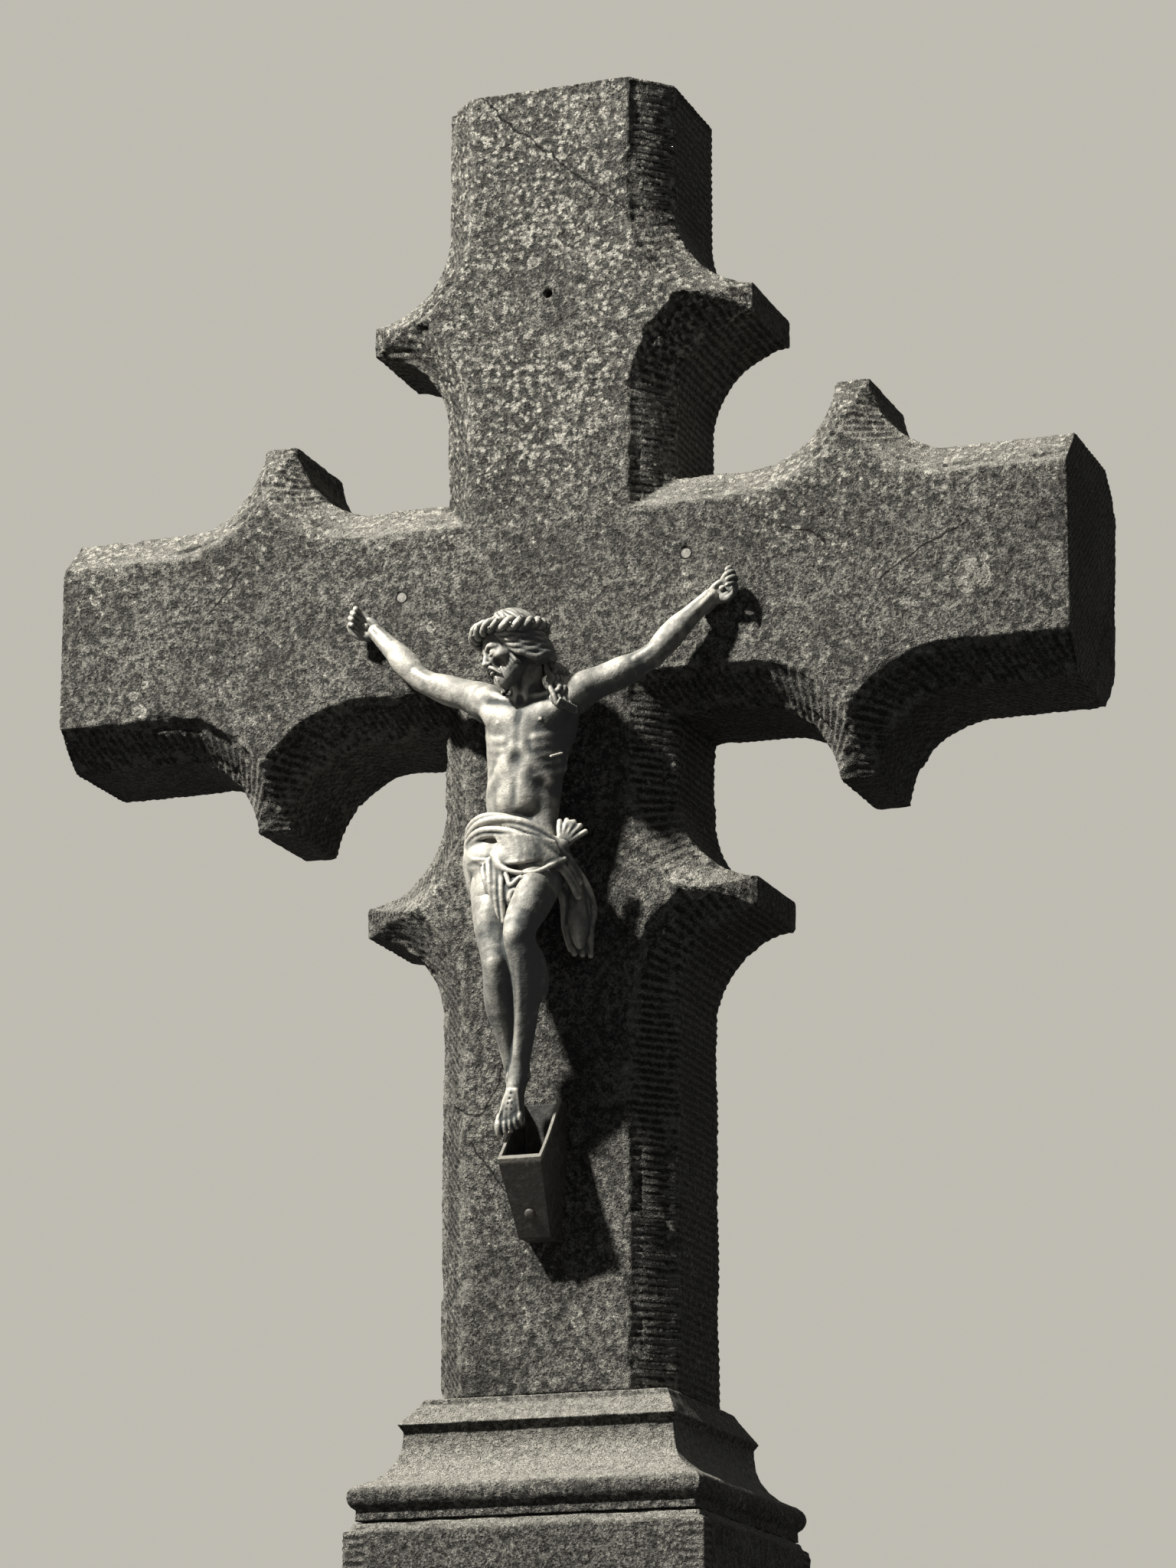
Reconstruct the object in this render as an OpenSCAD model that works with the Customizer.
// Stone memorial cross with eight spurs, a cast figure on a foot bracket, and a moulded plinth.
// Millimetres, +Z up, the figure faces -Y, the origin is the middle of the underside.

/* [Cross] */
// Width of the shaft and of the head, side to side
shaft_w = 300; // [250:1:360]
// Depth of the shaft, head and arms, front to back
shaft_d = 245; // [210:1:290]
// Height of the two arms
arm_h = 300; // [250:1:360]
// Chamfer along the long corners of shaft, head and arms
chamfer = 47; // [30:1:56]
// Width over both arm ends
arm_span = 1300; // [1150:1:1560]
// Height of the head above the middle of the crossing
head_rise = 666; // [580:1:800]
// Length of the shaft below the middle of the crossing
shaft_drop = 967; // [880:1:1160]
// How far the right arm end is dressed back at its top rear corner
end_dressing = 12; // [4:1:18]

/* [Spurs] */
// Distance of each spur from the middle of the crossing
spur_place = 375; // [340:1:410]
// How far each spur stands out from the side of its bar
spur_reach = 100; // [80:1:108]
// Radius of the hollow curves on both sides of a spur
spur_curve_r = 112; // [109:1:125]
// Width of the tips on the shaft and the head
spur_tip_shaft = 38; // [26:1:50]
// Width of the tips on the arms
spur_tip_arm = 44; // [30:1:56]
// Where the flat facet of a spur starts, outward from the side of its bar
facet_start = 21; // [10:1:40]

/* [Fixings] */
// Radius of the drilled hole in the head
hole_r = 6; // [4:0.5:10]
// Depth of the drilled hole
hole_depth = 40; // [20:1:90]
// Height of the drilled hole above the middle of the crossing
hole_rise = 392; // [360:1:470]
// Radius of the two round plugs in the arms
plug_r = 8; // [5:0.5:14]
// Depth of the plugs
plug_depth = 14; // [8:1:40]
// Clearance round a plug and under the foot
fit_gap = 0.3; // [0.2:0.05:0.6]
// Left plug, sideways from the middle of the crossing
left_plug_x = -190; // [-260:1:-165]
// Left plug, above the middle of the crossing
left_plug_z = 20; // [-20:1:60]
// Right plug, sideways from the middle of the crossing
right_plug_x = 178; // [165:1:260]
// Right plug, above the middle of the crossing
right_plug_z = 37; // [-20:1:60]

/* [Plinth] */
// How far the die stands out past the sides of the shaft
die_side = 71; // [50:1:100]
// How far the die stands out past the front and back of the shaft
die_front = 77; // [50:1:100]
// Height of the die
die_h = 720; // [300:1:1800]
// Chamfer round the top of the die
die_chamfer = 14; // [6:1:24]
// Height of the moulded base stone
base_h = 147; // [140:1:175]
// Height of the plain foot course
course_h = 150; // [90:1:260]
// How far the foot course stands out past the die
course_step = 68; // [60:1:120]

/* [Figure] */
// Overall scale of the cast figure and its bracket
figure_scale = 1; // [0.9:0.01:1.1]
// Wall of the hollow foot bracket
bracket_wall = 4; // [3:0.5:6]
// Half width of the bracket at its top
bracket_top = 27; // [22:1:34]
// Half width of the bracket at its bottom
bracket_bottom = 20; // [14:1:26]
// Radius of the head of the bracket bolt
bolt_head_r = 6; // [4:0.5:9]
// Radius of the shank of the bracket bolt
bolt_shank_r = 3; // [2:0.5:4]

/* [Hidden] */
stone = [0.42, 0.41, 0.38];
weathered_stone = [0.50, 0.49, 0.45];
metal = [0.45, 0.46, 0.43];
dark_metal = [0.16, 0.17, 0.17];
mortar = [0.72, 0.71, 0.66];
round_fn = 96;
curve_sink = 0.6;
facet_lap = 1.5;

half_w = shaft_w / 2;
half_d = shaft_d / 2;
half_h = arm_h / 2;
foot_z = course_h + die_h + base_h;
cross_z = foot_z + shaft_drop;
die_w = shaft_w + 2 * die_side;
die_d = shaft_d + 2 * die_front;

// Rectangle a by b with its four corners cut at 45 degrees.
module chamfered_section(a, b, cut) {
    polygon([[-a + cut, -b], [a - cut, -b], [a, -b + cut], [a, b - cut],
             [a - cut, b], [-a + cut, b], [-a, b - cut], [-a, -b + cut]]);
}

// A right prism whose side profile is given as [forward, up] points, centred on x = 0.
module side_prism(width, points) {
    translate([-width / 2, 0, 0])
        rotate([90, 0, 90])
            linear_extrude(width) polygon([for (p = points) [-p[0], p[1]]]);
}

// ---- Cross -------------------------------------------------------------------------------

module upright_bar() {
    translate([0, 0, -shaft_drop])
        linear_extrude(shaft_drop + head_rise) chamfered_section(half_w, half_d, chamfer);
}

module cross_bar() {
    rotate([90, 0, 90])
        translate([0, 0, -arm_span / 2])
            linear_extrude(arm_span) chamfered_section(half_d, half_h, chamfer);
}

// Hollow curve beside a spur: a round groove right through, flared by the chamfer at both faces.
module spur_hollow() {
    rotate([90, 0, 0]) {
        cylinder(h = shaft_d + 2, r = spur_curve_r, center = true, $fn = round_fn);
        for (face = [0, 1])
            mirror([0, 0, face])
                translate([0, 0, half_d - chamfer])
                    cylinder(h = chamfer + 1, r1 = spur_curve_r, r2 = spur_curve_r + chamfer + 1, $fn = round_fn);
    }
}

// Flat facet from the front face down to the front edge of the tip, and the same at the back.
module spur_facet(side, width) {
    run = spur_reach - facet_start;
    for (face = [0, 1])
        mirror([0, face, 0])
            translate([-width, -half_d, side + facet_start])
                rotate([-atan2(chamfer + facet_lap, run), 0, 0])
                    translate([0, -2 * chamfer, -0.2 * chamfer])
                        cube([2 * width, 2 * chamfer, 3 * run]);
}

// One spur standing up (+Z) on a bar whose side face is at height side.
module spur(side, tip_w) {
    drop = spur_curve_r - spur_reach;
    run = sqrt(spur_curve_r * spur_curve_r - drop * drop);
    reach_x = tip_w / 2 + run;
    block_w = reach_x + spur_curve_r * 0.1;
    difference() {
        translate([-block_w, -half_d, side - chamfer])
            cube([2 * block_w, shaft_d, spur_reach + chamfer]);
        for (s = [-1, 1])
            translate([s * reach_x, 0, side + spur_curve_r - curve_sink]) spur_hollow();
        for (s = [-1, 1])
            translate([s * (reach_x + block_w), 0, side + spur_curve_r])
                cube([2 * block_w, shaft_d + 2, 2 * spur_curve_r], center = true);
        spur_facet(side, block_w);
        for (face = [0, 1], beyond = [0, 1])
            mirror([0, face, 0])
                mirror([beyond, 0, 0])
                    translate([reach_x, -half_d, side - chamfer])
                        rotate([-45, 0, 0])
                            translate([0, -chamfer, -chamfer]) cube([block_w, chamfer, 3 * chamfer]);
    }
}

module shaft_spurs() {
    for (up = [-1, 1], s = [-1, 1])
        translate([0, 0, up * spur_place]) rotate([0, s * 90, 0]) spur(half_w, spur_tip_shaft);
}

module arm_spurs() {
    for (s = [-1, 1], turn = [0, 180])
        translate([s * spur_place, 0, 0]) rotate([0, turn, 0]) spur(half_h, spur_tip_arm);
}

// The right arm end is dressed back on a slant that runs from its lower front to its upper rear.
module dressed_end() {
    lean = atan2(end_dressing, shaft_d);
    translate([arm_span / 2, -half_d, -half_h + chamfer])
        rotate([-45, 0, 0])
            rotate([0, 0, lean])
                translate([0, -arm_h, -2 * arm_h]) cube([3 * end_dressing, 3 * arm_h, 4 * arm_h]);
}

module plug_pocket(x, z) {
    translate([x, -half_d - 1, z])
        rotate([-90, 0, 0]) cylinder(h = plug_depth + 1, r = plug_r + fit_gap, $fn = 48);
}

module cross() {
    color(stone)
        translate([0, 0, cross_z])
            difference() {
                union() {
                    upright_bar();
                    cross_bar();
                    shaft_spurs();
                    arm_spurs();
                }
                dressed_end();
                translate([0, -half_d - 1, hole_rise])
                    rotate([-90, 0, 0]) cylinder(h = hole_depth + 1, r = hole_r, $fn = 48);
                plug_pocket(left_plug_x, left_plug_z);
                plug_pocket(right_plug_x, right_plug_z);
            }
}

module plug(x, z) {
    color(mortar)
        translate([x, -half_d, cross_z + z])
            rotate([-90, 0, 0]) cylinder(h = plug_depth, r = plug_r, $fn = 48);
}

module left_plug() {
    plug(left_plug_x, left_plug_z);
}

module right_plug() {
    plug(right_plug_x, right_plug_z);
}

// ---- Plinth ------------------------------------------------------------------------------

// Depth below the shaft foot and standing out past the shaft: the drip edge, the neck of the
// hollow, the middle of the roll and the joint with the die.
seat_drop = 8;
drip_out = [21, 34];
drip_drop = 33;
neck_out = [16, 25];
neck_drop = 53;
roll_out = [66, 78];
roll_drop = 120;
joint_out = [58, 69];
roll_r = 17;

// Profile of the base stone on one side, as [out, height] measured from the shaft's own side.
function hollow_points(out, steps) =
    let (from = [neck_out[out] + 1, base_h - neck_drop + 4])
    let (to = [roll_out[out] - roll_r * 0.75, base_h - roll_drop + roll_r * 0.95])
    [for (i = [0 : steps])
        let (t = i / steps)
        [from[0] + (to[0] - from[0]) * (1 - cos(t * 74)) / (1 - cos(74)),
         from[1] + (to[1] - from[1]) * sin(t * 74) / sin(74)]];

function roll_points(out, steps) =
    [for (i = [0 : steps])
        let (a = 62 - i * 124 / steps)
        [roll_out[out] - roll_r + roll_r * cos(a), base_h - roll_drop + roll_r * sin(a)]];

function base_profile(out) = concat(
    [[-30, base_h], [0.5, base_h], [5, base_h - seat_drop]],
    [[drip_out[out], base_h - drip_drop], [neck_out[out] + 1, base_h - neck_drop + 12]],
    hollow_points(out, 5),
    roll_points(out, 6),
    [[joint_out[out], 0], [-30, 0]]);

// The profile run along both pairs of sides and mitred at the corners.
module moulded_block() {
    intersection() {
        rotate([90, 0, 0])
            translate([0, 0, -die_d])
                linear_extrude(2 * die_d) both_sides(half_w, base_profile(0));
        rotate([90, 0, 90])
            translate([0, 0, -die_w])
                linear_extrude(2 * die_w) both_sides(half_d, base_profile(1));
    }
}

module both_sides(half, profile) {
    right = [for (p = profile) if (p[0] > -30) [half + p[0], p[1]]];
    left = [for (i = [len(right) - 1 : -1 : 0]) [-right[i][0], right[i][1]]];
    polygon(concat(right, left));
}

module base_stone() {
    color(weathered_stone)
        translate([0, 0, course_h + die_h]) moulded_block();
}

module die() {
    color(weathered_stone)
        translate([0, 0, course_h])
            intersection() {
                rotate([90, 0, 0])
                    translate([0, 0, -die_d])
                        linear_extrude(2 * die_d) die_outline(die_w / 2);
                rotate([90, 0, 90])
                    translate([0, 0, -die_w])
                        linear_extrude(2 * die_w) die_outline(die_d / 2);
            }
}

module die_outline(half) {
    top = half - 0.9 * die_chamfer;
    polygon([[-half, 0], [half, 0], [half, die_h - die_chamfer], [top, die_h],
             [-top, die_h], [-half, die_h - die_chamfer]]);
}

module foot_course() {
    color(weathered_stone)
        translate([-die_w / 2 - course_step, -die_d / 2 - course_step, 0])
            cube([die_w + 2 * course_step, die_d + 2 * course_step, course_h]);
}

// ---- Foot bracket ------------------------------------------------------------------------

// Side profile of the bracket as [forward, up] from the cross face and the middle of the crossing.
bracket_base_z = -790;
bracket_rim_z = -705;
bracket_back_z = -626;
bracket_toe_out = 88;
bracket_heel_out = 24;
bracket_low_out = 35;
rim_sag = 3;

// The cheek's hollow top edge, from the front corner up to the back.
function rim_curve(steps) =
    [for (i = [0 : steps])
        let (t = i / steps)
        [bracket_toe_out + (bracket_heel_out - bracket_toe_out) * t - rim_sag * sin(180 * t) * 0.7,
         bracket_rim_z + (bracket_back_z - bracket_rim_z) * t - rim_sag * sin(180 * t) * 0.6]];

module bracket_outer() {
    intersection() {
        side_prism(4 * bracket_top, concat([[0, bracket_base_z], [bracket_low_out, bracket_base_z]],
                                           rim_curve(8), [[0, bracket_back_z]]));
        bracket_front_view(0, bracket_back_z);
    }
}

module bracket_front_view(inset, top_z) {
    rotate([90, 0, 0])
        translate([0, 0, -100])
            linear_extrude(300)
                polygon([[-bracket_bottom + inset, bracket_base_z + inset - 1],
                         [bracket_bottom - inset, bracket_base_z + inset - 1],
                         [bracket_top - inset, bracket_rim_z], [bracket_top - inset, top_z + 1],
                         [-bracket_top + inset, top_z + 1], [-bracket_top + inset, bracket_rim_z]]);
}

module bracket_hollow() {
    wall = bracket_wall;
    lean = (bracket_toe_out - bracket_low_out) / (bracket_rim_z - bracket_base_z);
    intersection() {
        side_prism(4 * bracket_top, [[wall, bracket_base_z + wall],
                                     [bracket_low_out - wall * 1.2 + wall * lean, bracket_base_z + wall],
                                     [bracket_toe_out - wall * 1.2, bracket_rim_z],
                                     [bracket_toe_out - wall * 1.2, bracket_back_z + 20],
                                     [wall, bracket_back_z + 20]]);
        bracket_front_view(wall, bracket_back_z + 30);
    }
}

bolt_z = -764;
bolt_lean = atan2(bracket_toe_out - bracket_low_out, bracket_rim_z - bracket_base_z);

// Places a child on the sloping front plate, its +Z pointing out of the plate.
module on_front_plate() {
    along = (bolt_z - bracket_base_z) / (bracket_rim_z - bracket_base_z);
    out = bracket_low_out + (bracket_toe_out - bracket_low_out) * along;
    translate([0, -out, bolt_z]) rotate([90 + bolt_lean, 0, 0]) children();
}

module in_figure_place() {
    translate([0, -half_d, cross_z]) scale(figure_scale) children();
}

module foot_bracket() {
    color(dark_metal)
        in_figure_place()
            difference() {
                bracket_outer();
                bracket_hollow();
                on_front_plate()
                    translate([0, 0, -2.5 * bracket_wall])
                        cylinder(h = 4 * bracket_wall, r = bolt_shank_r + fit_gap, $fn = 32);
            }
}

module bracket_bolt() {
    color(dark_metal)
        in_figure_place()
            on_front_plate() {
                rotate_extrude($fn = 48)
                    polygon([[0, 0], [bolt_head_r, 0], [bolt_head_r, 1.6],
                             [0.8 * bolt_head_r, 3.4], [0.4 * bolt_head_r, 4.2], [0, 4.4]]);
                translate([0, 0, -1.8 * bracket_wall])
                    cylinder(h = 1.8 * bracket_wall + 0.5, r = bolt_shank_r, $fn = 32);
            }
}

// ---- Figure ------------------------------------------------------------------------------
// Points are given as [across, up, forward] from the cross face and the middle of the crossing.

function at(p) = [p[0], -p[2], p[1]];

module ball(p, r, n = 10) {
    translate(at(p)) sphere(r, $fn = n);
}

module oval(p, across, up, forward, n = 14) {
    translate(at(p)) scale([across, forward, up]) sphere(1, $fn = n);
}

// A chain of tapering rounds through a row of [across, up, forward, radius].
module limb(row, n = 10) {
    for (i = [0 : len(row) - 2])
        hull() {
            ball(row[i], row[i][3], n);
            ball(row[i + 1], row[i + 1][3], n);
        }
}

module torso() {
    hull() {
        oval([-2, -182, 60], 57, 36, 39, 16);
        oval([-47, -147, 56], 26, 22, 27);
        oval([47, -145, 56], 26, 22, 27);
    }
    hull() {
        oval([-3, -200, 60], 57, 32, 38, 16);
        oval([-11, -262, 57], 44, 26, 31, 16);
    }
    hull() {
        oval([-11, -262, 57], 44, 26, 31, 16);
        oval([-14, -335, 56], 53, 30, 38, 16);
    }
}

// Collar bones, the lower edge of the chest and the arch of the ribs.
module chest_relief() {
    for (s = [-1, 1]) {
        oval([s * 27 - 2, -176, 83], 30, 20, 14);
        limb([[s * 6, -150, 88, 4], [s * 40, -140, 82, 5]], 6);
        limb([[s * 5 - 4, -212, 93, 5], [s * 26 - 5, -236, 85, 7], [s * 40 - 6, -254, 68, 8]], 6);
    }
}

module arm(s) {
    limb([[s * 56, -143, 55, 25], [s * 78, -130, 50, 21], [s * 112, -117, 44, 18.5], [s * 148, -99, 38, 15.5],
          [s * 168, -77, 34, 17.5], [s * 195, -49, 27, 13.5], [s * 216, -27, 20, 10.5]]);
}

// A half closed hand with its palm forward, wrist at the origin, fingers up.
module hand(s) {
    hull() {
        ball([0, 2, 0], 10, 8);
        ball([-10, 30, 2], 7.5, 8);
        ball([11, 30, 2], 7.5, 8);
    }
    for (i = [0 : 3]) {
        x = -11 + 7.4 * i;
        up = 49 - abs(i - 1.4) * 2;
        limb([[x, 30, 2, 5.4], [x, up, 8, 4.8], [x + s, up + 1, 21, 4.4], [x + s, up - 11, 26, 4]], 6);
    }
    limb([[-s * 9, 8, 3, 6], [-s * 20, 21, 12, 5.4], [-s * 17, 33, 18, 4.6]], 6);
    oval([0, 20, 10], 4, 4, 3, 6);
}

module placed_hand(s) {
    translate(at([s * 217, -27, 9.8])) rotate([0, s * 38, 0]) hand(s);
}

module face() {
    hull() {
        oval([0, -2, 20], 24, 17, 15);
        oval([0, -34, 26], 9, 8, 8, 10);
        oval([-16, -20, 8], 9, 11, 10, 10);
        oval([16, -20, 8], 9, 11, 10, 10);
    }
    limb([[0, 3, 34, 3.6], [0, -13, 41, 4.6]], 6);
    for (s = [-1, 1]) {
        limb([[s * 5, 6, 34, 3.2], [s * 18, 4, 27, 3.2]], 6);
        oval([s * 10, -2, 31], 5.2, 3, 3.6, 10);
    }
    oval([0, -22, 34], 8, 2.4, 3.4, 10);
    oval([0, -27, 33], 6.5, 2.4, 3.2, 10);
    oval([-4, -42, 27], 7, 10, 8, 10);
    oval([4, -42, 27], 7, 10, 8, 10);
}

// Wavy locks that fall from the crown past the ears to the nape.
module hair() {
    oval([0, 8, -4], 32, 33, 37);
    for (i = [0 : 7]) {
        turn = 75 + i * 210 / 7;
        x = 31 * sin(turn);
        f = -6 + 34 * cos(turn);
        limb([[x, 8, f, 7], [x * 1.08, -12, f * 1.05 + 3, 7.4], [x * 0.98, -31, f - 1, 6.6], [x * 0.8, -48, f, 5]], 6);
    }
}

module thorn_crown() {
    count = 12;
    for (i = [0 : count - 1], strand = [0, 180]) {
        a = i * 360 / count;
        b = a + 360 / count;
        hull() {
            ball(crown_point(a, strand), 4.8, 6);
            ball(crown_point(b, strand), 4.8, 6);
        }
    }
}

function crown_point(a, strand) =
    let (r = 32.5 + 3 * cos(4 * a + strand))
    [r * sin(a), 16 + 3.4 * sin(4 * a + strand), -3 + (r + 3) * cos(a)];

module head() {
    translate(at([1, -90, 92])) rotate([0, 0, -40]) rotate([20, 0, 0]) rotate([0, 4, 0]) {
        face();
        hair();
        thorn_crown();
    }
    limb([[2, -146, 62, 21], [1, -112, 80, 17.5]], 8);
    limb([[30, -118, 66, 8], [40, -130, 74, 7], [47, -146, 82, 6.5], [44, -160, 86, 5]], 6);
    limb([[-22, -128, 76, 6], [-26, -142, 84, 5.5], [-30, -152, 84, 4]], 6);
}

module legs() {
    limb([[-42, -360, 62, 31], [-32, -420, 90, 25], [-21, -480, 106, 19]], 12);
    limb([[-21, -482, 105, 18.5], [-25, -520, 88, 19], [-22, -560, 66, 14], [-20, -606, 46, 11]], 12);
    limb([[20, -352, 62, 32], [18, -400, 95, 27], [9, -446, 117, 21]], 12);
    limb([[9, -448, 117, 20], [13, -490, 98, 21], [4, -545, 80, 15], [-10, -600, 62, 11]], 12);
}

// The feet lie one over the other, toes down, on the slope of the bracket's rim.
module foot(heel, toe, width) {
    hull() {
        ball(heel, 11, 10);
        ball([toe[0] - width, toe[1] + 16, toe[2]], 8, 8);
        ball([toe[0] + width, toe[1] + 16, toe[2]], 7.5, 8);
    }
    for (i = [0 : 4])
        limb([[toe[0] - width + i * width / 2, toe[1] + 16, toe[2] + 1, 5.2 - 0.5 * i],
              [toe[0] - width * 1.1 + i * width * 0.52, toe[1] + 1 + i * 1.2, toe[2] + 3, 4.6 - 0.4 * i]], 6);
}

module feet() {
    foot([-20, -612, 45], [-14, -664, 54], 10);
    foot([-12, -607, 60], [-18, -683.6, 69], 11);
}

module loincloth() {
    oval([8, -330, 76], 36, 26, 24);
    hull() {
        oval([-14, -318, 57], 63, 20, 44, 16);
        oval([-18, -352, 60], 66, 24, 47, 16);
    }
    hull() {
        oval([-48, -356, 62], 36, 22, 40);
        oval([-46, -382, 72], 33, 12, 34);
    }
    for (strand = [0 : 2])
        limb([[-80, -305 - 8 * strand, 52, 6], [-60, -292 - 9 * strand, 86, 7], [-14, -294 - 10 * strand, 104 + strand, 7],
              [26, -312 - 9 * strand, 98, 7.5], [50, -340 - 9 * strand, 80, 7.5], [57, -380, 54, 5]], 6);
    for (i = [0 : 4])
        limb([[-66 + 10 * i, -326, 92 + 3 * i, 5], [-40 + 3 * i, -362, 104, 6], [-26 + i, -392 - 5 * i, 106 + i, 5]], 6);
    for (i = [0 : 3])
        limb([[-22 + 4 * i, -330, 104, 6], [10 + 9 * i, -352 + 4 * i, 102 - 3 * i, 7], [30 + 5 * i, -366 + 8 * i, 88, 5]], 6);
    limb([[-26, -380, 108, 9], [-14, -398, 118, 7], [-24, -412, 112, 8], [-18, -424, 108, 5]], 8);
    limb([[-84, -318, 52, 9], [-86, -356, 56, 10], [-80, -390, 64, 4]], 8);
}

// The fan shaped knot on the hip and the end of the cloth that hangs behind it.
module knot() {
    for (i = [0 : 3])
        limb([[42, -338, 56, 6], [34 + 10 * i, -306 + 1.5 * i * (2 - i), 52 + i, 6]], 6);
    for (i = [0 : 1])
        limb([[44 + 5 * i, -352, 38 - 12 * i, 10], [50 + 4 * i, -392, 26 - 9 * i, 11], [46 + 7 * i, -424, 20 - 6 * i, 10],
              [52 + 3 * i, -448, 18 - 6 * i, 6]], 8);
}

// Keeps the figure clear of the cross face and of the slope of the bracket's rim.
module clear_of_stone() {
    translate([-400, -250 - fit_gap, -760]) cube([800, 250, 900]);
}

// All that lies under the rim of the bracket's cheeks, so that the sole is shaped to sit on them.
module bracket_slope_block() {
    low = bracket_base_z - 40;
    ahead = bracket_toe_out + 60;
    translate([0, 0, fit_gap])
        side_prism(600, concat([[-40, low], [ahead, low], [ahead, bracket_rim_z]],
                               rim_curve(8), [[-40, bracket_back_z]]));
}

module figure() {
    color(metal)
        in_figure_place()
            difference() {
                intersection() {
                    union() {
                        torso();
                        chest_relief();
                        head();
                        legs();
                        feet();
                        loincloth();
                        knot();
                        for (s = [-1, 1]) {
                            arm(s);
                            placed_hand(s);
                        }
                    }
                    clear_of_stone();
                }
                bracket_slope_block();
            }
}

cross();
base_stone();
die();
foot_course();
figure();
foot_bracket();
bracket_bolt();
left_plug();
right_plug();
